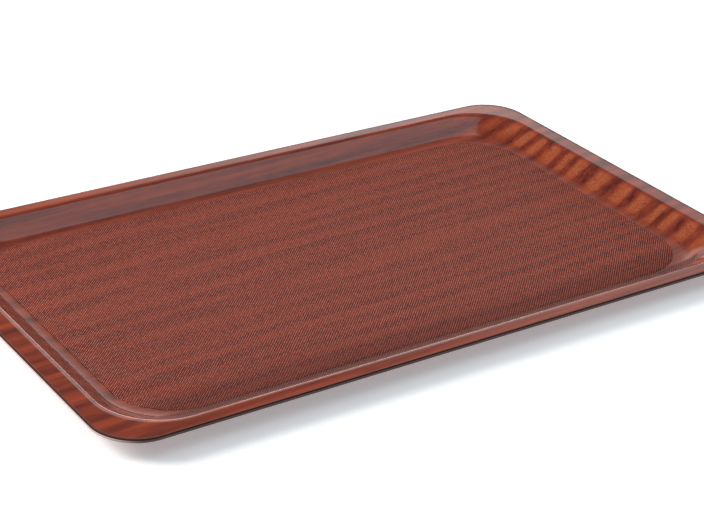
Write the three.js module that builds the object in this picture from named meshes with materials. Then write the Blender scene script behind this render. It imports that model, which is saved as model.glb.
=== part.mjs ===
// Laminated wood serving tray, Gastronorm 1/1 footprint.
//
// Five thin wood plies and two clear resin films are pressed together over one dished form: a flat lip,
// a rounded crest, a sloping wall, a wide concave foot and a flat floor. Every layer follows the same form
// and is one closed shell, so the layers lie face to face. A sealing band covers the cut edge of the
// laminate all round the rim, and a slip-resistant coat lies on the floor.
//
// Millimetres, +Z up. The origin is at the middle of the underside, +X runs along the tray's length.

import * as THREE from 'three';

// Driving dimensions of the pressed form, measured on the tray's upper face.
const trayLength = 530;
const trayWidth = 325;
const outerCornerRadius = 32;
const wellCornerRadius = 45;
const wellDepth = 12.4;
const lipOnShortSides = 12.5;
const lipOnLongSides = 9;
const crestRadius = 9;
const footRadius = 16;
const wallAngle = THREE.MathUtils.degToRad(37);

// Sizes of the band round the rim and of the coat on the floor.
const sealThickness = 0.7;
const coatThickness = 0.25;
const coatMargin = 0.5;

// Layers of the laminate from the top down.
const layers = [
  { name: 'top_overlay', thickness: 0.2, color: 0x8a4a3c, roughness: 0.22 },
  { name: 'face_veneer', thickness: 0.4, color: 0x7c3a2b, roughness: 0.5 },
  { name: 'upper_crossband', thickness: 0.45, color: 0x5c3a28, roughness: 0.7 },
  { name: 'core_ply', thickness: 0.5, color: 0x8c6a4a, roughness: 0.7 },
  { name: 'lower_crossband', thickness: 0.45, color: 0x5c3a28, roughness: 0.7 },
  { name: 'back_veneer', thickness: 0.4, color: 0x7c3a2b, roughness: 0.5 },
  { name: 'bottom_overlay', thickness: 0.2, color: 0x6e3529, roughness: 0.35 },
];
const laminateThickness = layers.reduce((sum, layer) => sum + layer.thickness, 0);
const rimHeight = wellDepth + laminateThickness;

// Fineness of the facets.
const cornerSegments = 8;
const crestSegments = 3;
const footSegments = 4;

// Horizontal width of the straight part of the wall, and of crest, wall and foot together.
const wallRun = (wellDepth - (crestRadius + footRadius) * (1 - Math.cos(wallAngle))) / Math.tan(wallAngle);
const wellRun = wallRun + (crestRadius + footRadius) * Math.sin(wallAngle);

// Outline of a rectangle with rounded corners, counter-clockwise, set in from the tray's outer edge.
function roundedOutline(insetX, insetY, radius) {
  const centreX = trayLength / 2 - insetX - radius;
  const centreY = trayWidth / 2 - insetY - radius;
  const corners = [[1, 1], [-1, 1], [-1, -1], [1, -1]];
  const points = [];
  corners.forEach(([signX, signY], corner) => {
    for (let step = 0; step <= cornerSegments; step += 1) {
      const angle = (corner + step / cornerSegments) * Math.PI / 2;
      const x = signX * centreX + radius * Math.cos(angle);
      const y = signY * centreY + radius * Math.sin(angle);
      points.push(new THREE.Vector2(x, y));
    }
  });
  return points;
}

// Section of the form from the lip's inner edge to the floor: distance inwards, drop and slope.
function wellSection() {
  const section = [];
  for (let step = 0; step <= crestSegments; step += 1) {
    const slope = wallAngle * step / crestSegments;
    const drop = crestRadius * (1 - Math.cos(slope));
    section.push({ run: crestRadius * Math.sin(slope), drop, slope });
  }
  for (let step = 0; step <= footSegments; step += 1) {
    const slope = wallAngle * (1 - step / footSegments);
    const drop = wellDepth - footRadius * (1 - Math.cos(slope));
    section.push({ run: wellRun - footRadius * Math.sin(slope), drop, slope });
  }
  return section;
}

// Rings of points on the surface that lies a given depth below the tray's upper face, measured square to it.
function surfaceRings(depth) {
  const rim = roundedOutline(sealThickness, sealThickness, outerCornerRadius - sealThickness);
  const rings = [rim.map((point) => [point.x, point.y, rimHeight - depth])];
  for (const { run, drop, slope } of wellSection()) {
    const shift = depth * Math.sin(slope);
    const insetX = lipOnShortSides + run - shift;
    const insetY = lipOnLongSides + run - shift;
    const outline = roundedOutline(insetX, insetY, wellCornerRadius + shift);
    const z = rimHeight - drop - depth * Math.cos(slope);
    rings.push(outline.map((point) => [point.x, point.y, z]));
  }
  return rings;
}

// One layer of the laminate: two dished surfaces joined round the rim into a closed shell.
function layerGeometry(topDepth, bottomDepth) {
  const surfaces = [surfaceRings(topDepth), surfaceRings(bottomDepth)];
  const ringCount = surfaces[0].length;
  const pointCount = surfaces[0][0].length;
  const indices = [];
  const vertex = (surface, ring, point) => (surface * ringCount + ring) * pointCount + point % pointCount;

  // A quad given counter-clockwise as seen from above, turned over on the lower surface.
  const addQuad = (surface, a, b, c, d) => {
    const corners = surface === 0 ? [a, b, c, a, c, d] : [a, c, b, a, d, c];
    indices.push(...corners);
  };

  for (const surface of [0, 1]) {
    const floor = ringCount - 1;
    for (let ring = 0; ring < floor; ring += 1) {
      for (let point = 0; point < pointCount; point += 1) {
        addQuad(
          surface,
          vertex(surface, ring, point),
          vertex(surface, ring, point + 1),
          vertex(surface, ring + 1, point + 1),
          vertex(surface, ring + 1, point),
        );
      }
    }
    // The floor is a ladder of strips between points that mirror each other across the X axis.
    for (let point = 0; point < pointCount / 2 - 1; point += 1) {
      addQuad(
        surface,
        vertex(surface, floor, point),
        vertex(surface, floor, point + 1),
        vertex(surface, floor, pointCount - 2 - point),
        vertex(surface, floor, pointCount - 1 - point),
      );
    }
  }
  for (let point = 0; point < pointCount; point += 1) {
    addQuad(0, vertex(1, 0, point), vertex(1, 0, point + 1), vertex(0, 0, point + 1), vertex(0, 0, point));
  }

  const geometry = new THREE.BufferGeometry();
  geometry.setAttribute('position', new THREE.Float32BufferAttribute(surfaces.flat(3), 3));
  geometry.setIndex(indices);
  geometry.computeVertexNormals();
  return geometry;
}

// Band of sealer round the laminate's cut edge, as high as the laminate is thick.
function edgeSealGeometry() {
  const shape = new THREE.Shape(roundedOutline(0, 0, outerCornerRadius));
  const inner = roundedOutline(sealThickness, sealThickness, outerCornerRadius - sealThickness);
  shape.holes.push(new THREE.Path(inner));
  return new THREE.ExtrudeGeometry(shape, { depth: laminateThickness, bevelEnabled: false });
}

// Slip-resistant coat on the flat of the floor.
function gripCoatGeometry() {
  const insetX = lipOnShortSides + wellRun + coatMargin;
  const insetY = lipOnLongSides + wellRun + coatMargin;
  const shape = new THREE.Shape(roundedOutline(insetX, insetY, wellCornerRadius - coatMargin));
  return new THREE.ExtrudeGeometry(shape, { depth: coatThickness, bevelEnabled: false });
}

function namedMesh(name, geometry, color, roughness) {
  const mesh = new THREE.Mesh(geometry, new THREE.MeshStandardMaterial({ color, roughness, metalness: 0 }));
  mesh.name = name;
  return mesh;
}

const tray = new THREE.Group();

let depth = 0;
for (const layer of layers) {
  const geometry = layerGeometry(depth, depth + layer.thickness);
  tray.add(namedMesh(layer.name, geometry, layer.color, layer.roughness));
  depth += layer.thickness;
}

const edgeSeal = namedMesh('edge_seal', edgeSealGeometry(), 0x35201a, 0.4);
edgeSeal.position.z = wellDepth;
tray.add(edgeSeal);

const gripCoat = namedMesh('grip_coat', gripCoatGeometry(), 0x73392f, 0.45);
gripCoat.position.z = laminateThickness;
tray.add(gripCoat);

export default tray;
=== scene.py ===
"""Laminated wood serving tray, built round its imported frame.

Seven pressed layers follow one dished form, a sealing band covers their cut edge and a woven slip-resistant
coat lies on the floor. Lengths are in metres, +X along the tray and +Z up.
"""

import math

import bpy
import numpy as np
from bpy.props import FloatProperty, FloatVectorProperty, PointerProperty
from bpy.types import Operator, Panel, PropertyGroup
from mathutils import Matrix, Vector


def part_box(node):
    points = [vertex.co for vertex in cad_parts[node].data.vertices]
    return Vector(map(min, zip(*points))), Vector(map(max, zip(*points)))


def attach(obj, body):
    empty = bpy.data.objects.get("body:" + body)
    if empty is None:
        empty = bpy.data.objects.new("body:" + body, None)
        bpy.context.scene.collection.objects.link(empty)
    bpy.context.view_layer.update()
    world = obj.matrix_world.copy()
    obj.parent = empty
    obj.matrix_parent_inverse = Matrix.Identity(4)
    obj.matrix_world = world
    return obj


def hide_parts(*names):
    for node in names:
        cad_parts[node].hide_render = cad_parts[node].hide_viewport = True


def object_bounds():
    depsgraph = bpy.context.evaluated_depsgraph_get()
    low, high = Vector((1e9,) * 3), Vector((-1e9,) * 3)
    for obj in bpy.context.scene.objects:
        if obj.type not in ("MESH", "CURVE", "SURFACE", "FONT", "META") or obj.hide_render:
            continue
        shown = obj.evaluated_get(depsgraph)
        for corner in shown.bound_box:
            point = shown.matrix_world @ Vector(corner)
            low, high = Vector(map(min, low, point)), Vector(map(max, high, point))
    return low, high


bl_info = {
    "name": "Laminated Serving Tray",
    "version": (1, 0, 0),
    "blender": (4, 5, 0),
    "location": "View3D > Sidebar > Tray",
    "description": "Makes the layers, edge seal and floor coat of a pressed wood serving tray",
    "category": "Add Mesh",
}

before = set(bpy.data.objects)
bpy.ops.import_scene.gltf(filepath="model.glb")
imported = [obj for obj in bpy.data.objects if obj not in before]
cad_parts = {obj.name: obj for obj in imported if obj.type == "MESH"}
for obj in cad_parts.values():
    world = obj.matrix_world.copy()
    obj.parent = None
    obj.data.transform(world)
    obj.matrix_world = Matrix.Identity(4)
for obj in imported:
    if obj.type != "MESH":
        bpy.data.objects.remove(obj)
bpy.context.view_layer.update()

TRAY_LOW, TRAY_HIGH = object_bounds()
SEAL_LOW, SEAL_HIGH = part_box("edge_seal")
FILM_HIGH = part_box("top_overlay")[1]
COAT_LOW, COAT_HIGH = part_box("grip_coat")
TRAY_LENGTH = TRAY_HIGH.x - TRAY_LOW.x
TRAY_WIDTH = TRAY_HIGH.y - TRAY_LOW.y
RIM_HEIGHT = TRAY_HIGH.z
SEAL_THICKNESS = SEAL_HIGH.x - FILM_HIGH.x
WELL_DEPTH = RIM_HEIGHT - COAT_LOW.z
COAT_THICKNESS = COAT_HIGH.z - COAT_LOW.z
FRONT_FOOT = COAT_LOW.y

# Fineness of the surfaces.
CORNER_SEGMENTS = 28
LIP_SEGMENTS = 4
CREST_SEGMENTS = 10
WALL_SEGMENTS = 4
FOOT_SEGMENTS = 14
ARRIS_SEGMENTS = 5
SHARP_ANGLE = math.radians(50)

# Markings of the wood, in noise cells per metre along X, Y and Z. The veneer's grain runs along X.
RIBBON_WANDER = (2.2, 9.0, 9.0)
STREAKS = (5.0, 150.0, 150.0)
FIBRES = (40.0, 1500.0, 1500.0)
MOTTLE = (70.0, 170.0, 170.0)
PORES = (160.0, 3600.0, 3600.0)
SPECKLES = (420.0, 1100.0, 1100.0)
EDGE_FIBRES = (60.0, 60.0, 2500.0)
EDGE_PATCHES = (25.0, 25.0, 25.0)

# How the sheets are laid: the turn of their grain in radians, and where on the wood each is cut, in metres.
GRAIN_TURN = -0.04
FACE_CUT = (0.0, 0.0, 0.0)
BACK_CUT = (0.41, 0.27, 0.0)
PLY_CUT = (0.3, 0.2, 0.0)

# Where the finishes change, in metres.
RIM_SHADE_START = 0.0006
RIM_SHADE_END = 0.0026
FOOT_DULL_TOP = COAT_LOW.z + 0.0022
FRONT_WEAVE_START = FRONT_FOOT + 0.004
FRONT_WEAVE_FULL = FRONT_FOOT - 0.001
FRONT_WEAVE_TOP = COAT_LOW.z + 0.006
FRONT_WEAVE_SOLID = COAT_LOW.z + 0.004
# The painted shade along the front of the coat fades out here.
FRONT_PAINTED_SHADE_END = FRONT_FOOT + 0.035
ARRIS_SHADE_START = RIM_HEIGHT - 0.001
ARRIS_SHADE_FULL = RIM_HEIGHT - 0.0005
PLY_LINE_SPACING = (RIM_HEIGHT - SEAL_LOW.z) / 2.5
PLY_LINE_WAVER = 0.00018

# Strengths of shades, gloss and contrast.
LACQUER_CONTRAST = 0.85
COAT_CONTRAST = 1.8
FIBRE_GLOSS = 0.12
RIM_SHADE = 0.75
RIM_DULLNESS = 0.6
FOOT_DULLNESS = 0.28
# The front shades below are painted shade, on the woven front foot and along the front of the coat.
FRONT_WEAVE_PAINTED_SHADE = 0.55
FRONT_WEAVE_DULLNESS = 0.5
FRONT_COAT_PAINTED_SHADE = 0.4

# Depths of the surface textures, in metres.
LACQUER_TEXTURE = 0.00001
PLY_TEXTURE = 0.00006
SEALER_TEXTURE = 0.00003
WEAVE_TEXTURE = 0.0002

FLOOR_WIDTH = 12.0
CAMERA_AIM = (-0.0118, -0.0319, RIM_HEIGHT)


def length_property(name, description, default):
    """Property for a length in metres."""
    return FloatProperty(
        name=name, description=description, default=default, unit="LENGTH", subtype="DISTANCE", precision=5
    )


def angle_property(name, description, degrees):
    """Property for an angle, given in degrees and kept in radians."""
    return FloatProperty(
        name=name, description=description, default=math.radians(degrees), unit="ROTATION", subtype="ANGLE"
    )


def colour_property(name, description, default):
    """Property for a linear colour."""
    return FloatVectorProperty(
        name=name, description=description, default=default, size=3, min=0, max=1, subtype="COLOR"
    )


class TrayForm(PropertyGroup):
    """Sizes of the pressed form, on the tray's upper face."""

    outer_radius: length_property("Outer corner radius", "Corner radius of the rim", 0.032)
    well_radius: length_property("Well corner radius", "Corner radius of crest, wall and floor", 0.045)
    lip_short: length_property("Lip on short sides", "Flat width of the lip on the two short sides", 0.0125)
    lip_long: length_property("Lip on long sides", "Flat width of the lip on the two long sides", 0.009)
    crest_radius: length_property("Crest radius", "Radius where the lip turns down into the wall", 0.009)
    foot_radius: length_property("Foot radius", "Radius where the wall runs out into the floor", 0.016)
    wall_angle: angle_property("Wall angle", "Slope of the wall from level", 37)
    arris_radius: length_property("Arris radius", "Rounding of the rim's upper and lower edge", 0.0006)
    coat_margin: length_property("Coat margin", "Bare floor between the foot and the coat", 0.0005)
    coat_edge: length_property("Coat edge", "Width over which the coat thins out at its edge", 0.0006)


class TrayFinish(PropertyGroup):
    """Colours and patterns of the tray's finishes."""

    veneer_light: colour_property("Veneer light", "Light ribbons of the mahogany", (0.3, 0.048, 0.018))
    veneer_dark: colour_property("Veneer dark", "Dark streaks of the mahogany", (0.062, 0.008, 0.006))
    # Painted sheen: colour that brightens the ribbons where the surface tilts along the grain.
    veneer_painted_sheen: colour_property("Veneer painted sheen", "Ribbons on walls across the grain", (0.34, 0.09, 0.034))
    ribbon_width: length_property("Ribbon width", "Distance from one ribbon to the next", 0.0195)
    rim_shade: colour_property("Rim shade", "Lacquer where the lip meets the seal", (0.04, 0.012, 0.009))
    # Painted shade over the weave along the front.
    front_painted_shade: colour_property("Front painted shade", "Shade over the weave at the front", (0.02, 0.005, 0.005))
    crossband_light: colour_property("Crossband light", "Light wood of the crossbands", (0.2, 0.11, 0.07))
    crossband_dark: colour_property("Crossband dark", "Dark wood of the crossbands", (0.09, 0.05, 0.035))
    core_light: colour_property("Core light", "Light wood of the core", (0.5, 0.33, 0.2))
    core_dark: colour_property("Core dark", "Dark wood of the core", (0.3, 0.18, 0.1))
    # Painted light and shade on the sealed edge: pale on faces along X, dark on faces along Y.
    edge_painted_light: colour_property("Edge painted light", "Sealed plies on the short sides", (0.7, 0.5, 0.45))
    edge_painted_shade: colour_property("Edge painted shade", "Sealed plies on the long sides", (0.1, 0.045, 0.04))
    edge_line: colour_property("Edge lines", "Glue lines under the sealer", (0.02, 0.008, 0.007))
    arris_shade: colour_property("Arris shade", "Upper edge of the sealed rim", (0.02, 0.006, 0.006))
    # Painted highlights on the raised threads and painted shade in the gaps of the weave.
    thread_painted_highlight: colour_property("Thread painted highlights", "Raised threads of the woven coat", (0.94, 0.28, 0.21))
    thread_gap_painted_shade: colour_property("Thread gap painted shade", "Gaps in the woven coat", (0.008, 0.002, 0.002))
    weave_pitch: length_property("Weave pitch", "Distance between threads of the woven coat", 0.00108)


class TrayStage(PropertyGroup):
    """Camera and lights."""

    azimuth: angle_property("Azimuth", "Direction the camera looks, from +Y", -35.06)
    elevation: angle_property("Elevation", "Camera angle above the horizon", 27.07)
    roll: angle_property("Roll", "Turn of the camera about its own axis", 2.84)
    distance: length_property("Distance", "Distance from the camera to the point it aims at", 1.3367)
    lens: FloatProperty(name="Lens", description="Focal length", default=98.27, unit="CAMERA")


# Surfaces


def rounded_outline(inset_x, inset_y, radius):
    """Rectangle with rounded corners, counter-clockwise from +X, set in from the tray's outer edge.

    Each corner is a quarter circle about a centre that lies one radius inside both sides. The insets and
    the radius may be arrays, and then there is one outline for each of their values.
    """
    inset_x, inset_y, radius = (np.asarray(value, float)[..., None] for value in (inset_x, inset_y, radius))
    corner = np.repeat(np.arange(4), CORNER_SEGMENTS + 1)
    step = np.tile(np.arange(CORNER_SEGMENTS + 1), 4) / CORNER_SEGMENTS
    angle = (corner + step) * math.pi / 2
    sign_x = np.array([1, -1, -1, 1])[corner]
    sign_y = np.array([1, 1, -1, -1])[corner]
    x = sign_x * (TRAY_LENGTH / 2 - inset_x - radius) + radius * np.cos(angle)
    y = sign_y * (TRAY_WIDTH / 2 - inset_y - radius) + radius * np.sin(angle)
    return x, y


def well_section(form):
    """Run, drop and slope of the form from the lip's inner edge to the floor.

    The crest is an arc of the crest radius that turns from level to the wall's slope, the wall is straight,
    and the foot is an arc of the foot radius that turns back to level at the full depth.
    """
    slope = form.wall_angle
    radii = form.crest_radius + form.foot_radius
    wall_run = (WELL_DEPTH - radii * (1 - math.cos(slope))) / math.tan(slope)
    well_run = wall_run + radii * math.sin(slope)
    crest = slope * np.linspace(0, 1, CREST_SEGMENTS + 1)
    crest_run = form.crest_radius * np.sin(crest)
    crest_drop = form.crest_radius * (1 - np.cos(crest))
    foot = slope * np.linspace(1, 0, FOOT_SEGMENTS + 1)
    foot_run = well_run - form.foot_radius * np.sin(foot)
    foot_drop = WELL_DEPTH - form.foot_radius * (1 - np.cos(foot))
    share = np.linspace(0, 1, WALL_SEGMENTS + 1)[1:-1]
    wall_runs = crest_run[-1] + share * (foot_run[0] - crest_run[-1])
    wall_drops = crest_drop[-1] + share * (foot_drop[0] - crest_drop[-1])
    run = np.concatenate([crest_run, wall_runs, foot_run])
    drop = np.concatenate([crest_drop, wall_drops, foot_drop])
    slopes = np.concatenate([crest, np.full(len(share), slope), foot])
    return run, drop, slopes


def form_surface(form, depth):
    """Rings of points on the surface a given depth below the tray's upper face, measured square to it.

    Each ring is a rounded rectangle at one height. The rings cross the level lip from the rim inwards, then
    follow the well's section, shifted down and outwards by the depth along the section's normal. The result
    is an array of ring by point by (x, y, z), with each ring's mean distance from the rim at its points.
    """
    run, drop, slope = well_section(form)
    shift = depth * np.sin(slope)
    inset_x = form.lip_short + run - shift
    inset_y = form.lip_long + run - shift
    radius = form.well_radius + shift
    height = RIM_HEIGHT - drop - depth * np.cos(slope)
    share = np.linspace(0, 1, LIP_SEGMENTS + 1)[:-1]
    rim_radius = form.outer_radius - SEAL_THICKNESS
    lip_x = SEAL_THICKNESS + share * (form.lip_short - SEAL_THICKNESS)
    lip_y = SEAL_THICKNESS + share * (form.lip_long - SEAL_THICKNESS)
    lip_radius = rim_radius + share * (form.well_radius - rim_radius)
    inset_x = np.concatenate([lip_x, inset_x])
    inset_y = np.concatenate([lip_y, inset_y])
    radius = np.concatenate([lip_radius, radius])
    height = np.concatenate([np.full(len(share), RIM_HEIGHT - depth), height])
    x, y = rounded_outline(inset_x, inset_y, radius)
    points = np.stack([x, y, np.broadcast_to(height[:, None], x.shape)], axis=-1)
    from_rim = np.broadcast_to(((inset_x + inset_y) / 2)[:, None], x.shape)
    return points, from_rim


def ring_quads(rings, points, first=0, closed=False):
    """Quads between neighbouring rings, counter-clockwise from above where the rings run inwards."""
    ring = np.arange(rings if closed else rings - 1)[:, None]
    point = np.arange(points)[None, :]
    after = (ring + 1) % rings
    beside = (point + 1) % points
    corners = (ring * points + point, ring * points + beside, after * points + beside, after * points + point)
    return first + np.stack(np.broadcast_arrays(*corners), axis=-1).reshape(-1, 4)


def ladder_quads(points, first):
    """Quads that close an outline, each between a stretch of it and its mirror image across the X axis."""
    point = np.arange(points // 2 - 1)
    corners = (point, point + 1, points - 2 - point, points - 1 - point)
    return first + np.stack(corners, axis=-1)


def closed_shell(upper, lower):
    """Vertices and faces of the shell between two surfaces of like rings, closed round the rim."""
    rings, points = upper.shape[:2]
    below = rings * points
    floor = (rings - 1) * points
    top = np.concatenate([ring_quads(rings, points), ladder_quads(points, floor)])
    bottom = top[:, ::-1] + below
    point = np.arange(points)
    beside = (point + 1) % points
    rim = np.stack([below + point, below + beside, beside, point], axis=-1)
    vertices = np.concatenate([upper.reshape(-1, 3), lower.reshape(-1, 3)])
    return vertices, np.concatenate([top, bottom, rim])


def swept_ring(section_inset, section_height, outer_radius):
    """Vertices and faces of a closed section carried round the tray's outline.

    Each point of the section is an inset from the outer edge and a height. The section runs
    counter-clockwise when seen along the outline, so its faces point outwards, and its last ring joins the
    first.
    """
    x, y = rounded_outline(section_inset, section_inset, outer_radius - section_inset)
    height = np.broadcast_to(section_height[:, None], x.shape)
    vertices = np.stack([x, y, height], axis=-1).reshape(-1, 3)
    return vertices, ring_quads(x.shape[0], x.shape[1], closed=True)


def seal_section(radius):
    """Section of the edge seal, as insets from the outer edge and heights.

    It goes up a quarter round at the lower edge, the upright outside and a quarter round at the upper edge,
    and comes back down the flat inner side.
    """
    turn = np.linspace(0, math.pi / 2, ARRIS_SEGMENTS + 1)
    lower = np.stack([radius * (1 - np.sin(turn)), SEAL_LOW.z + radius * (1 - np.cos(turn))])
    upper = np.stack([radius * (1 - np.cos(turn)), RIM_HEIGHT - radius * (1 - np.sin(turn))])
    inner = np.array([[SEAL_THICKNESS, SEAL_THICKNESS], [RIM_HEIGHT, SEAL_LOW.z]])
    return np.concatenate([lower, upper, inner], axis=1)


def coat_sheet(form):
    """Vertices and faces of the coat, a sheet that lies on the floor a margin inside the foot of the wall.

    Its edge rises as a quarter sine over its width, the rest is level, and a flat under face closes it.
    """
    run = well_section(form)[0][-1]
    inset_x = form.lip_short + run + form.coat_margin
    inset_y = form.lip_long + run + form.coat_margin
    radius = form.well_radius - form.coat_margin
    steps = np.linspace(0, 1, ARRIS_SEGMENTS + 1)
    inwards = form.coat_edge * steps
    height = COAT_LOW.z + COAT_THICKNESS * np.sin(steps * math.pi / 2)
    x, y = rounded_outline(inset_x + inwards, inset_y + inwards, radius - inwards)
    vertices = np.stack([x, y, np.broadcast_to(height[:, None], x.shape)], axis=-1).reshape(-1, 3)
    rings, points = x.shape
    level = ladder_quads(points, (rings - 1) * points)
    under = ladder_quads(points, 0)[:, ::-1]
    return vertices, np.concatenate([ring_quads(rings, points), level, under])


def add_piece(name, vertices, faces, material, nodes, from_rim=None):
    """Puts a piece into the scene, smooth but for its sharp edges, in place of its CAD node."""
    mesh = bpy.data.meshes.new(name)
    mesh.from_pydata(vertices.tolist(), [], faces.tolist())
    mesh.shade_smooth()
    mesh.set_sharp_from_angle(angle=SHARP_ANGLE)
    if from_rim is not None:
        attribute = mesh.attributes.new("from_rim", "FLOAT", "POINT")
        attribute.data.foreach_set("value", from_rim.astype(np.float32).ravel())
    mesh.materials.append(material)
    piece = bpy.data.objects.new(name, mesh)
    bpy.context.scene.collection.objects.link(piece)
    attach(piece, "root")
    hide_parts(*nodes)
    return piece


# Shader nodes


def fill(tree, socket, value):
    """Links a socket to the value if it is a socket too, and sets it otherwise."""
    if isinstance(value, bpy.types.NodeSocket):
        tree.links.new(value, socket)
    else:
        socket.default_value = value


def place(tree, kind, inputs=None, **settings):
    """Adds a shader node, sets its properties, and fills its inputs by name or number."""
    node = tree.nodes.new(kind)
    for name, value in settings.items():
        setattr(node, name, value)
    for name, value in (inputs or {}).items():
        fill(tree, node.inputs[name], value)
    return node


def maths(tree, operation, *values, clamp=False):
    """Output of a Math node with the given operation and values."""
    inputs = dict(enumerate(values))
    return place(tree, "ShaderNodeMath", inputs, operation=operation, use_clamp=clamp).outputs[0]


def split(tree, vector):
    """X, Y and Z of a vector, as sockets by name."""
    return place(tree, "ShaderNodeSeparateXYZ", {0: vector}).outputs


def smooth_range(tree, value, low, high, to_low=0.0, to_high=1.0):
    """Output that goes smoothly from to_low to to_high as value goes from low to high."""
    inputs = {"Value": value, "From Min": low, "From Max": high, "To Min": to_low, "To Max": to_high}
    node = place(tree, "ShaderNodeMapRange", inputs, interpolation_type="SMOOTHSTEP")
    return node.outputs["Result"]


def mixed(tree, factor, first, second):
    """Colour that goes from the first to the second as the factor goes from 0 to 1."""
    return place(tree, "ShaderNodeMix", {0: factor, 6: first, 7: second}, data_type="RGBA").outputs[2]


def noise(tree, position, cells, detail, roughness=0.5):
    """Noise from 0 to 1 with its own number of cells per metre along each axis."""
    scaled = place(tree, "ShaderNodeVectorMath", {0: position, 1: cells}, operation="MULTIPLY").outputs[0]
    inputs = {"Vector": scaled, "Scale": 1.0, "Detail": detail, "Roughness": roughness}
    return place(tree, "ShaderNodeTexNoise", inputs, noise_dimensions="3D").outputs["Fac"]


def shader_group(name, inputs, outputs):
    """An empty node group with named sockets, with its tree, input node and output node."""
    tree = bpy.data.node_groups.new(name, "ShaderNodeTree")
    for socket_name, kind, default in inputs:
        socket = tree.interface.new_socket(socket_name, in_out="INPUT", socket_type=kind)
        if default is not None:
            socket.default_value = default
    for socket_name, kind in outputs:
        tree.interface.new_socket(socket_name, in_out="OUTPUT", socket_type=kind)
    return tree, tree.nodes.new("NodeGroupInput"), tree.nodes.new("NodeGroupOutput")


def shared_group(name, build, finish):
    """The named node group, built on its first use."""
    return bpy.data.node_groups.get(name) or build(name, finish)


def rgba(colour):
    """The colour with full alpha, as a colour socket takes it."""
    return (*colour, 1.0)


def ribbon_veneer_group(name, finish):
    """Ribbon-striped veneer with its grain along X.

    Wavy ribbons lie side by side across Y, dark streaks and fine fibres run along them, and short pores
    break the surface. Where the surface tilts along the grain, the middle of each ribbon gets a painted
    sheen, a brighter colour that stands in for the light the ribbons catch.
    """
    tree, given, result = shader_group(
        name,
        (
            ("Position", "NodeSocketVector", None),
            ("Light", "NodeSocketColor", rgba(finish.veneer_light)),
            ("Dark", "NodeSocketColor", rgba(finish.veneer_dark)),
            ("Painted Sheen", "NodeSocketColor", rgba(finish.veneer_painted_sheen)),
            ("Ribbon Width", "NodeSocketFloat", finish.ribbon_width),
            ("Glow Strength", "NodeSocketFloat", 1.0),
            ("Contrast", "NodeSocketFloat", 1.0),
        ),
        (("Color", "NodeSocketColor"), ("Height", "NodeSocketFloat")),
    )
    position = given.outputs["Position"]

    # Ribbons: a wave across Y, from 0 to 1, whose phase wanders slowly along and across the sheet.
    across = split(tree, position)["Y"]
    wander = noise(tree, position, RIBBON_WANDER, 2.0)
    turns = maths(tree, "DIVIDE", across, given.outputs["Ribbon Width"])
    turns = maths(tree, "MULTIPLY_ADD", wander, 3.4, turns)
    wave = maths(tree, "SINE", maths(tree, "MULTIPLY", turns, 2 * math.pi))
    ribbon = maths(tree, "MULTIPLY_ADD", wave, 0.5, 0.5)

    # Markings: noise drawn out along the grain.
    streak = noise(tree, position, STREAKS, 3.0, 0.6)
    fibre = noise(tree, position, FIBRES, 2.0, 0.6)
    mottle = noise(tree, position, MOTTLE, 3.0, 0.6)
    speckle = noise(tree, position, SPECKLES, 2.0, 0.7)
    pores = smooth_range(tree, noise(tree, position, PORES, 1.0), 0.66, 0.74)

    # Darkness: half the gaps between ribbons, plus each marking's distance from its middle by its weight.
    # Contrast spreads it about its mean.
    darkness = maths(tree, "MULTIPLY_ADD", ribbon, -0.5, 0.5)
    for marking, middle, weight in ((streak, 0.6, -2.1), (fibre, 0.5, 0.9), (mottle, 0.5, 0.5)):
        darkness = maths(tree, "MULTIPLY_ADD", maths(tree, "SUBTRACT", marking, middle), weight, darkness)
    mean = 0.35
    darkness = maths(tree, "SUBTRACT", darkness, mean)
    darkness = maths(tree, "MULTIPLY_ADD", darkness, given.outputs["Contrast"], mean, clamp=True)
    colour = mixed(tree, darkness, given.outputs["Light"], given.outputs["Dark"])

    # Painted sheen: the ribbon wave itself, brightened by the tilt of the surface along X, standing in for
    # the light the ribbons catch.
    normal = split(tree, place(tree, "ShaderNodeNewGeometry").outputs["Normal"])
    tilt = maths(tree, "MULTIPLY", normal["X"], -1.0)
    painted_sheen = smooth_range(tree, tilt, 0.25, 0.6)
    painted_sheen = maths(tree, "MULTIPLY", painted_sheen, smooth_range(tree, ribbon, 0.15, 0.95))
    painted_sheen = maths(tree, "MULTIPLY", painted_sheen, smooth_range(tree, mottle, 0.3, 0.62, to_low=0.5))
    painted_sheen = maths(tree, "MULTIPLY", painted_sheen, smooth_range(tree, speckle, 0.4, 0.58, to_low=0.2, to_high=1.3))
    painted_sheen = maths(tree, "MULTIPLY", painted_sheen, given.outputs["Glow Strength"], clamp=True)
    colour = mixed(tree, painted_sheen, colour, given.outputs["Painted Sheen"])
    colour = mixed(tree, maths(tree, "MULTIPLY", pores, 0.45), colour, given.outputs["Dark"])

    # Height: the fibres stand up and the pores sink in.
    depth = maths(tree, "MULTIPLY", pores, 0.65)
    height = maths(tree, "SUBTRACT", maths(tree, "MULTIPLY", fibre, 0.35), depth)
    tree.links.new(colour, result.inputs["Color"])
    tree.links.new(height, result.inputs["Height"])
    return tree


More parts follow.
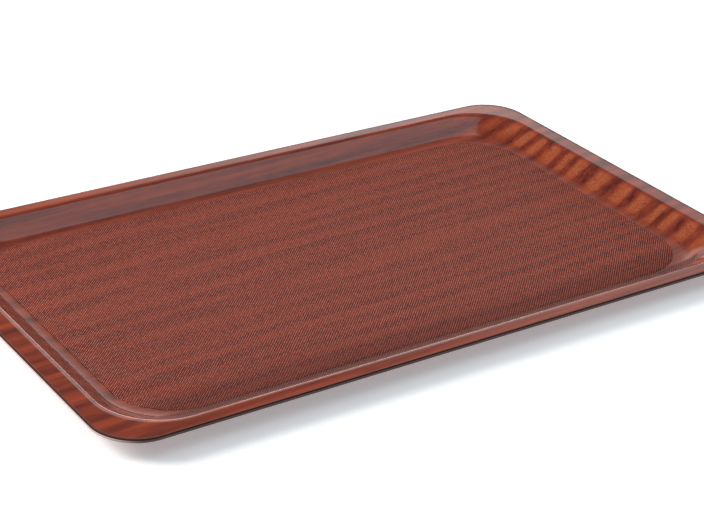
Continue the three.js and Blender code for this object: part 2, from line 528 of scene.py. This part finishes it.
def weave_group(name, finish):
    """Plain weave of threads along X and Y, laid over a base colour.

    A thread is the absolute value of a sine across it. Warp is on top where the product of the two sines is
    positive and weft where it is negative. The gaps are darkened with painted shade and the raised threads
    lightened with painted highlights, each crossing by a chance of its own. Amount, from 0 to 1, is how much
    the weave colours the base.
    """
    tree, given, result = shader_group(
        name,
        (
            ("Position", "NodeSocketVector", None),
            ("Base", "NodeSocketColor", rgba(finish.veneer_light)),
            ("Top", "NodeSocketColor", rgba(finish.thread_painted_highlight)),
            ("Gap", "NodeSocketColor", rgba(finish.thread_gap_painted_shade)),
            ("Pitch", "NodeSocketFloat", finish.weave_pitch),
            ("Amount", "NodeSocketFloat", 1.0),
        ),
        (("Color", "NodeSocketColor"), ("Height", "NodeSocketFloat")),
    )
    position, pitch, amount = (given.outputs[socket] for socket in ("Position", "Pitch", "Amount"))

    # Threads: how high the weave stands, from 0 to 1.
    axes = split(tree, position)
    sines = []
    for axis in "XY":
        turns = maths(tree, "DIVIDE", axes[axis], pitch)
        sines.append(maths(tree, "SINE", maths(tree, "MULTIPLY", turns, math.pi)))
    warp, weft = (maths(tree, "ABSOLUTE", sine) for sine in sines)
    product = maths(tree, "MULTIPLY", *sines)
    side = smooth_range(tree, product, -0.12, 0.12, to_low=-0.35, to_high=0.35)
    lift = maths(tree, "MULTIPLY", side, maths(tree, "SUBTRACT", warp, weft))
    mean = maths(tree, "MULTIPLY", maths(tree, "ADD", warp, weft), 0.5)
    threads = maths(tree, "ADD", mean, lift)

    # Crossings: how strong the painted highlights are, more where the warp is on top, and each cell of the
    # weave by its own chance.
    per_pitch = maths(tree, "DIVIDE", 1.0, pitch)
    cell = place(tree, "ShaderNodeVectorMath", {0: position, "Scale": per_pitch}, operation="SCALE")
    cell = place(tree, "ShaderNodeVectorMath", {0: cell.outputs[0], 1: (1.0, 1.0, 0.0)}, operation="MULTIPLY")
    cell = place(tree, "ShaderNodeVectorMath", {0: cell.outputs[0]}, operation="FLOOR")
    chance = place(tree, "ShaderNodeTexWhiteNoise", {"Vector": cell.outputs[0]}).outputs["Value"]
    crossing = smooth_range(tree, product, -0.2, 0.6, to_low=0.1)
    crossing = maths(tree, "MULTIPLY", crossing, maths(tree, "MULTIPLY_ADD", chance, 0.8, 0.6))

    # Colour: painted shade, the darker the lower the threads, then painted highlights on the upper ones.
    gap_painted_shade = maths(tree, "MULTIPLY", smooth_range(tree, threads, 0.5, 1.0, to_low=1.0, to_high=0.0), amount)
    colour = mixed(tree, gap_painted_shade, given.outputs["Base"], given.outputs["Gap"])
    painted_highlights = maths(tree, "MULTIPLY", smooth_range(tree, threads, 0.6, 0.97, to_high=0.95), crossing)
    colour = mixed(tree, maths(tree, "MULTIPLY", painted_highlights, amount), colour, given.outputs["Top"])
    tree.links.new(colour, result.inputs["Color"])
    tree.links.new(threads, result.inputs["Height"])
    return tree


def place_group(tree, group, **values):
    """Adds a node group, with its inputs set or linked by name."""
    node = tree.nodes.new("ShaderNodeGroup")
    node.node_tree = group
    for name, value in values.items():
        fill(tree, node.inputs[name.replace("_", " ")], value)
    return node


def new_material(name, **shader_values):
    """A material with its Principled shader, the shader's own values set and its tree returned."""
    material = bpy.data.materials.new(name)
    material.use_nodes = True
    tree = material.node_tree
    shader = tree.nodes["Principled BSDF"]
    for socket, value in shader_values.items():
        shader.inputs[socket.replace("_", " ")].default_value = value
    return material, tree, shader


def object_position(tree):
    """Object coordinates, in metres."""
    return place(tree, "ShaderNodeTexCoord").outputs["Object"]


def grain_position(tree, cut, turn=GRAIN_TURN):
    """Object coordinates, moved and turned so that each sheet has its own stretch of grain."""
    inputs = {"Vector": object_position(tree), "Location": cut, "Rotation": (0.0, 0.0, turn)}
    return place(tree, "ShaderNodeMapping", inputs).outputs["Vector"]


def bump(tree, shader, height, distance, strength=1.0):
    """Raises the surface by the height, as far as the distance."""
    inputs = {"Height": height, "Distance": distance, "Strength": strength}
    normal = place(tree, "ShaderNodeBump", inputs).outputs["Normal"]
    tree.links.new(normal, shader.inputs["Normal"])


def front_foot(tree, axes):
    """Mask of the foot along the front side, where the weave runs up the wall under painted shade."""
    across = smooth_range(tree, axes["Y"], FRONT_WEAVE_START, FRONT_WEAVE_FULL)
    up = smooth_range(tree, axes["Z"], FRONT_WEAVE_TOP, FRONT_WEAVE_SOLID)
    return maths(tree, "MULTIPLY", across, up)


def lacquered_veneer(name, finish, group, cut, roughness, specular=0.5, weave=None):
    """Ribbon veneer under clear film, dark and dull where the lip meets the sealed edge.

    The film is glossier on standing fibres and duller at the foot of the wall. With a weave, it also carries
    that up the front foot, dull and darkened with painted shade.
    """
    material, tree, shader = new_material(name, Specular_IOR_Level=specular)
    veneer = place_group(tree, group, Position=grain_position(tree, cut), Contrast=LACQUER_CONTRAST)
    axes = split(tree, object_position(tree))
    from_rim = place(tree, "ShaderNodeAttribute", attribute_name="from_rim").outputs["Fac"]
    rim = smooth_range(tree, from_rim, RIM_SHADE_START, RIM_SHADE_END, to_low=RIM_SHADE, to_high=0.0)
    colour = mixed(tree, rim, veneer.outputs["Color"], rgba(finish.rim_shade))
    foot = smooth_range(tree, axes["Z"], COAT_LOW.z, FOOT_DULL_TOP, to_low=FOOT_DULLNESS, to_high=0.0)
    dullness = maths(tree, "MULTIPLY_ADD", veneer.outputs["Height"], -FIBRE_GLOSS, roughness)
    dullness = maths(tree, "ADD", dullness, foot)
    dullness = maths(tree, "MULTIPLY_ADD", rim, RIM_DULLNESS, dullness, clamp=True)
    if weave:
        front = front_foot(tree, axes)
        woven = place_group(tree, weave, Position=object_position(tree), Base=colour, Amount=front)
        # Painted shade darkens the woven front foot.
        shade = maths(tree, "MULTIPLY", front, FRONT_WEAVE_PAINTED_SHADE)
        colour = mixed(tree, shade, woven.outputs["Color"], rgba(finish.front_painted_shade))
        dullness = maths(tree, "MULTIPLY_ADD", front, FRONT_WEAVE_DULLNESS, dullness, clamp=True)
    tree.links.new(colour, shader.inputs["Base Color"])
    tree.links.new(dullness, shader.inputs["Roughness"])
    bump(tree, shader, veneer.outputs["Height"], LACQUER_TEXTURE)
    return material


def plain_ply(name, group, light, dark, turn):
    """Ply inside the laminate: straight grain with no painted sheen, dull."""
    material, tree, shader = new_material(name, Roughness=0.65)
    position = grain_position(tree, PLY_CUT, turn)
    colours = {"Light": rgba(light), "Dark": rgba(dark)}
    veneer = place_group(tree, group, Position=position, Glow_Strength=0.0, **colours)
    tree.links.new(veneer.outputs["Color"], shader.inputs["Base Color"])
    bump(tree, shader, veneer.outputs["Height"], PLY_TEXTURE)
    return material


def laminate_materials(finish):
    """Material of each layer of the laminate, from the top down."""
    group = shared_group("ribbon_veneer", ribbon_veneer_group, finish)
    weave = shared_group("plain_weave", weave_group, finish)
    film = lacquered_veneer("clear_film", finish, group, FACE_CUT, roughness=0.12, weave=weave)
    face = lacquered_veneer("mahogany_veneer", finish, group, FACE_CUT, roughness=0.5)
    back = lacquered_veneer("back_film", finish, group, BACK_CUT, roughness=0.5, specular=0.05)
    crossband_colours = (finish.crossband_light, finish.crossband_dark)
    crossband = plain_ply("crossband_wood", group, *crossband_colours, turn=math.pi / 2)
    core = plain_ply("core_wood", group, finish.core_light, finish.core_dark, turn=0.0)
    return {
        "top_overlay": film,
        "face_veneer": face,
        "upper_crossband": crossband,
        "core_ply": core,
        "lower_crossband": crossband,
        "back_veneer": face,
        "bottom_overlay": back,
    }


def edge_sealer(finish):
    """Glossy sealer over the cut plies, which show through as faint level lines.

    The lines are a cosine of the height, wavering with the fibres and broken up in patches. The sealer is
    painted pale as painted light where it faces along X and dark as painted shade where it faces along Y,
    and is dark and dull at its upper edge.
    """
    material, tree, shader = new_material("edge_sealer", Specular_IOR_Level=0.2)
    position = object_position(tree)
    height = split(tree, position)["Z"]
    fibre = noise(tree, position, EDGE_FIBRES, 2.0)
    waver = maths(tree, "MULTIPLY_ADD", maths(tree, "SUBTRACT", fibre, 0.5), PLY_LINE_WAVER, height)
    turns = maths(tree, "DIVIDE", maths(tree, "SUBTRACT", waver, SEAL_LOW.z), PLY_LINE_SPACING)
    line = maths(tree, "COSINE", maths(tree, "MULTIPLY", turns, 2 * math.pi))
    plies = maths(tree, "MULTIPLY_ADD", line, -0.4, 0.5, clamp=True)
    patch = noise(tree, position, EDGE_PATCHES, 3.0)
    plies = maths(tree, "MULTIPLY_ADD", maths(tree, "SUBTRACT", patch, 0.5), 0.5, plies, clamp=True)
    normal = split(tree, place(tree, "ShaderNodeNewGeometry").outputs["Normal"])
    # Painted light and shade: pale where the face looks along X, dark where it looks along Y.
    painted_light_side = smooth_range(tree, maths(tree, "ABSOLUTE", normal["X"]), 0.3, 0.95)
    colour = mixed(tree, painted_light_side, rgba(finish.edge_painted_shade), rgba(finish.edge_painted_light))
    colour = mixed(tree, maths(tree, "MULTIPLY_ADD", plies, -0.6, 0.6), colour, rgba(finish.edge_line))
    arris = smooth_range(tree, height, ARRIS_SHADE_START, ARRIS_SHADE_FULL)
    colour = mixed(tree, arris, colour, rgba(finish.arris_shade))
    tree.links.new(colour, shader.inputs["Base Color"])
    tree.links.new(maths(tree, "MULTIPLY_ADD", arris, 0.5, 0.28), shader.inputs["Roughness"])
    bump(tree, shader, maths(tree, "ADD", fibre, plies), SEALER_TEXTURE)
    return material


def woven_coat(finish):
    """Clear slip-resistant coat: the veneer shows through the weave, with painted shade along the front side.
    """
    group = shared_group("ribbon_veneer", ribbon_veneer_group, finish)
    weave = shared_group("plain_weave", weave_group, finish)
    material, tree, shader = new_material("woven_coat", Roughness=0.36, Specular_IOR_Level=0.03)
    position = object_position(tree)
    veneer = place_group(tree, group, Position=grain_position(tree, FACE_CUT), Contrast=COAT_CONTRAST)
    woven = place_group(tree, weave, Position=position, Base=veneer.outputs["Color"])
    across = split(tree, position)["Y"]
    # Painted shade: darker towards the front wall, fading out over 35 mm.
    shade = smooth_range(tree, across, FRONT_FOOT, FRONT_PAINTED_SHADE_END, to_low=FRONT_COAT_PAINTED_SHADE, to_high=0.0)
    colour = mixed(tree, shade, woven.outputs["Color"], rgba(finish.front_painted_shade))
    tree.links.new(colour, shader.inputs["Base Color"])
    bump(tree, shader, woven.outputs["Height"], WEAVE_TEXTURE, 0.9)
    return material


# Operators


class TRAY_OT_laminate(Operator):
    """Make the seven pressed layers of the laminate"""

    bl_idname = "tray.laminate"
    bl_label = "Make Laminate"

    def execute(self, context):
        form, finish = context.scene.tray_form, context.scene.tray_finish
        for name, material in laminate_materials(finish).items():
            low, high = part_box(name)
            upper, from_rim = form_surface(form, RIM_HEIGHT - high.z)
            lower, from_rim_below = form_surface(form, RIM_HEIGHT - WELL_DEPTH - low.z)
            vertices, faces = closed_shell(upper, lower)
            rim = np.concatenate([from_rim.ravel(), from_rim_below.ravel()])
            add_piece(name + "_layer", vertices, faces, material, [name], rim)
        return {"FINISHED"}


class TRAY_OT_edge_seal(Operator):
    """Make the band of sealer round the rim"""

    bl_idname = "tray.edge_seal"
    bl_label = "Make Edge Seal"

    def execute(self, context):
        form, finish = context.scene.tray_form, context.scene.tray_finish
        vertices, faces = swept_ring(*seal_section(form.arris_radius), form.outer_radius)
        add_piece("edge_seal_band", vertices, faces, edge_sealer(finish), ["edge_seal"])
        return {"FINISHED"}


class TRAY_OT_grip_coat(Operator):
    """Make the woven slip-resistant coat on the floor"""

    bl_idname = "tray.grip_coat"
    bl_label = "Make Grip Coat"

    def execute(self, context):
        form, finish = context.scene.tray_form, context.scene.tray_finish
        vertices, faces = coat_sheet(form)
        add_piece("grip_coat_sheet", vertices, faces, woven_coat(finish), ["grip_coat"])
        return {"FINISHED"}


def add_panel(name, centre, size, radiance, colour, target=(0.0, 0.0, 0.0)):
    """Soft panel light that faces the target. Its power is its radiance by its area by pi."""
    light = bpy.data.lights.new(name, "AREA")
    light.shape = "RECTANGLE"
    light.size, light.size_y = size
    light.energy = radiance * math.pi * size[0] * size[1]
    light.color = colour
    panel = bpy.data.objects.new(name, light)
    direction = Vector(target) - Vector(centre)
    panel.matrix_world = Matrix.Translation(centre) @ direction.to_track_quat("-Z", "Y").to_matrix().to_4x4()
    bpy.context.scene.collection.objects.link(panel)


def add_floor():
    """Pale floor under the tray, a square that glows a little."""
    half = FLOOR_WIDTH / 2
    corners = [(-half, -half, 0), (half, -half, 0), (half, half, 0), (-half, half, 0)]
    mesh = bpy.data.meshes.new("studio_floor")
    mesh.from_pydata(corners, [], [(0, 1, 2, 3)])
    material, _, _ = new_material(
        "pale_floor",
        Base_Color=(0.9, 0.9, 0.9, 1.0),
        Roughness=0.9,
        Specular_IOR_Level=0.0,
        Emission_Color=(0.9, 1.0, 1.05, 1.0),
        Emission_Strength=0.28,
    )
    mesh.materials.append(material)
    floor = bpy.data.objects.new("studio_floor", mesh)
    bpy.context.scene.collection.objects.link(floor)


def add_surroundings():
    """World light, worked out from its direction.

    A band glows at the horizon, most where it lies ahead along +Y, where the light is tinted warm. Above it
    the light grows with height, less towards +X, up to a slanting line past which only a little is left.
    """
    world = bpy.data.worlds.new("studio")
    world.use_nodes = True
    tree = world.node_tree
    background = tree.nodes["Background"]
    direction = split(tree, place(tree, "ShaderNodeTexCoord").outputs["Generated"])
    along, across, height = (direction[axis] for axis in "XYZ")

    ahead = smooth_range(tree, across, 0.75, 0.84)
    low = smooth_range(tree, height, 0.02, 0.14, to_low=1.6, to_high=0.0)
    low = maths(tree, "MULTIPLY", low, maths(tree, "MULTIPLY_ADD", ahead, 1.8, 1.0))
    high = smooth_range(tree, height, 0.14, 0.38, to_low=0.75, to_high=1.7)
    side = smooth_range(tree, along, 0.54, 0.64, to_low=1.0, to_high=0.6)
    high = maths(tree, "MULTIPLY", high, side)

    slant = maths(tree, "MULTIPLY_ADD", maths(tree, "SUBTRACT", 0.45, along), 0.25, height)
    unhidden = smooth_range(tree, slant, 0.37, 0.49, to_low=1.0, to_high=0.11)
    strength = maths(tree, "MULTIPLY", maths(tree, "ADD", low, high), unhidden)
    tint = mixed(tree, ahead, (1.0, 0.96, 0.95, 1.0), (1.0, 0.74, 0.68, 1.0))
    tree.links.new(strength, background.inputs["Strength"])
    tree.links.new(tint, background.inputs["Color"])
    bpy.context.scene.world = world


def add_camera(stage):
    """Camera that looks at the tray from its left front corner, slightly above."""
    azimuth, elevation, roll = stage.azimuth, stage.elevation, stage.roll
    back = Vector((
        math.sin(azimuth) * math.cos(elevation),
        -math.cos(azimuth) * math.cos(elevation),
        math.sin(elevation),
    ))
    aim = Vector(CAMERA_AIM)
    right = Vector((0, 0, 1)).cross(back).normalized()
    up = back.cross(right)
    axes = Matrix((right, up, back)).transposed() @ Matrix.Rotation(roll, 3, "Z")
    data = bpy.data.cameras.new("camera")
    data.lens = stage.lens
    camera = bpy.data.objects.new("camera", data)
    camera.matrix_world = Matrix.Translation(aim + back * stage.distance) @ axes.to_4x4()
    bpy.context.scene.collection.objects.link(camera)
    bpy.context.scene.camera = camera


class TRAY_OT_stage(Operator):
    """Set up the floor, lights and camera"""

    bl_idname = "tray.stage"
    bl_label = "Set Up Stage"

    def execute(self, context):
        add_floor()
        add_surroundings()
        add_panel(
            "overhead_panel",
            centre=(0.9, -0.3, 1.6),
            size=(1.7, 1.5),
            radiance=1.4,
            colour=(0.84, 0.92, 1.0),
            target=(0.0, 0.1, 0.0),
        )
        add_panel(
            "key_panel",
            centre=(-2.1, 1.55, 1.6),
            size=(1.5, 1.5),
            radiance=17.0,
            colour=(1.0, 0.99, 0.97),
        )
        add_camera(context.scene.tray_stage)
        context.scene.view_settings.view_transform = "Standard"
        return {"FINISHED"}


class TRAY_PT_panel(Panel):
    """Sizes, finishes and steps of the tray"""

    bl_idname = "TRAY_PT_panel"
    bl_label = "Serving Tray"
    bl_space_type = "VIEW_3D"
    bl_region_type = "UI"
    bl_category = "Tray"

    def draw(self, context):
        scene = context.scene
        for settings in (scene.tray_form, scene.tray_finish, scene.tray_stage):
            box = self.layout.box()
            for name in settings.__annotations__:
                box.prop(settings, name)
        for operator in OPERATORS:
            self.layout.operator(operator.bl_idname)


SETTINGS = {"tray_form": TrayForm, "tray_finish": TrayFinish, "tray_stage": TrayStage}
OPERATORS = (TRAY_OT_laminate, TRAY_OT_edge_seal, TRAY_OT_grip_coat, TRAY_OT_stage)


def register():
    """Registers the classes and hangs the settings on the scene."""
    for cls in (*SETTINGS.values(), *OPERATORS, TRAY_PT_panel):
        bpy.utils.register_class(cls)
    for name, cls in SETTINGS.items():
        setattr(bpy.types.Scene, name, PointerProperty(type=cls))


def unregister():
    """Takes the settings off the scene and unregisters the classes."""
    for name in SETTINGS:
        delattr(bpy.types.Scene, name)
    for cls in (TRAY_PT_panel, *OPERATORS[::-1], *list(SETTINGS.values())[::-1]):
        bpy.utils.unregister_class(cls)


def main():
    """Makes the tray and its stage."""
    register()
    bpy.ops.tray.laminate()
    bpy.ops.tray.edge_seal()
    bpy.ops.tray.grip_coat()
    bpy.ops.tray.stage()


if __name__ == "__main__":
    main()
